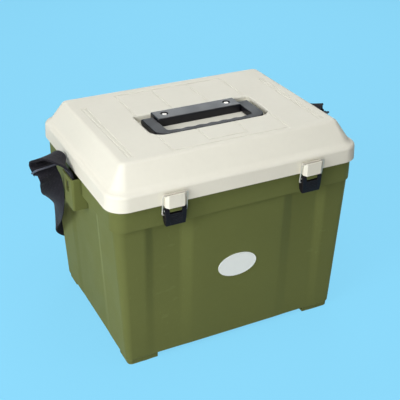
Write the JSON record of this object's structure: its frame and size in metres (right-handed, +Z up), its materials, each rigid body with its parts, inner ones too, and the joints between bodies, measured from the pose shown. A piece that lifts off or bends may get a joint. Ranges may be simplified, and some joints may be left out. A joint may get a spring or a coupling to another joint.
{
  "type": "fishing seat box",
  "caption": "Moulded tackle box with a hinged lid that serves as a seat, a sunken folding handle, front over-centre latches and a shoulder strap.",
  "frame": {"origin": "on the floor, under the middle of the box, which is also the middle of the tub", "axes": "+X to the right of someone who faces the latches, +Y to the back, where the hinges are, +Z up"},
  "size_m": [0.574, 0.3654, 0.3718],
  "materials": {
    "olive_plastic": "fine moulded grain, satin",
    "cream_plastic": "fine moulded grain, satin",
    "black_plastic": "satin black moulding",
    "bright_steel": "bright plated steel",
    "zinc_steel": "zinc plated steel",
    "black_webbing": "woven polypropylene webbing",
    "grey_plastic": "light grey moulding",
    "white_label": "bare white plate"
  },
  "bodies": {
    "tub_body": {"tub": "olive_plastic", "label": "white_label", "hinge_pin_left": "bright_steel", "hinge_pin_right": "bright_steel", "latch_pin_left": "bright_steel", "latch_pin_right": "bright_steel", "strap_webbing": "black_webbing", "strap_end_left": "black_webbing", "strap_end_right": "black_webbing", "strap_adjuster_left": "grey_plastic", "strap_adjuster_right": "grey_plastic"},
    "lid_body": {"lid": "cream_plastic", "handle_clamp": "black_plastic", "handle_backing_plate": "zinc_steel", "handle_screw_left": "bright_steel", "handle_screw_right": "bright_steel", "handle_nut_left": "zinc_steel", "handle_nut_right": "zinc_steel"},
    "handle_body": {"handle_bail": "black_plastic"},
    "lever_left_body": {"latch_lever_left": "black_plastic"},
    "lever_right_body": {"latch_lever_right": "black_plastic"},
    "wire_left_body": {"latch_wire_left": "bright_steel"},
    "wire_right_body": {"latch_wire_right": "bright_steel"}
  },
  "joints": [
    {"name": "lid_hinge", "type": "hinge", "parent": "tub_body", "child": "lid_body", "pos_m": [0, 0.177, 0.3], "axis": [-1, 0, 0], "range_deg": [0, 100]},
    {"name": "handle_swing", "type": "hinge", "parent": "lid_body", "child": "handle_body", "pos_m": [0, 0.002, 0.3628], "axis": [-1, 0, 0], "range_deg": [0, 125]},
    {"name": "lever_left_swing", "type": "hinge", "parent": "tub_body", "child": "lever_left_body", "pos_m": [-0.1225, -0.174, 0.2955], "axis": [-1, 0, 0], "range_deg": [0, 95]},
    {"name": "wire_left_swing", "type": "hinge", "parent": "lever_left_body", "child": "wire_left_body", "pos_m": [-0.1225, -0.172, 0.288], "axis": [-1, 0, 0], "range_deg": [-81, 0]},
    {"name": "lever_right_swing", "type": "hinge", "parent": "tub_body", "child": "lever_right_body", "pos_m": [0.1225, -0.174, 0.2955], "axis": [-1, 0, 0], "range_deg": [0, 95]},
    {"name": "wire_right_swing", "type": "hinge", "parent": "lever_right_body", "child": "wire_right_body", "pos_m": [0.1225, -0.172, 0.288], "axis": [-1, 0, 0], "range_deg": [-81, 0]}
  ],
  "couplings": [
    {"joint": "wire_left_swing", "follows": "lever_left_swing", "ratio": -0.85},
    {"joint": "wire_right_swing", "follows": "lever_right_swing", "ratio": -0.85}
  ]
}
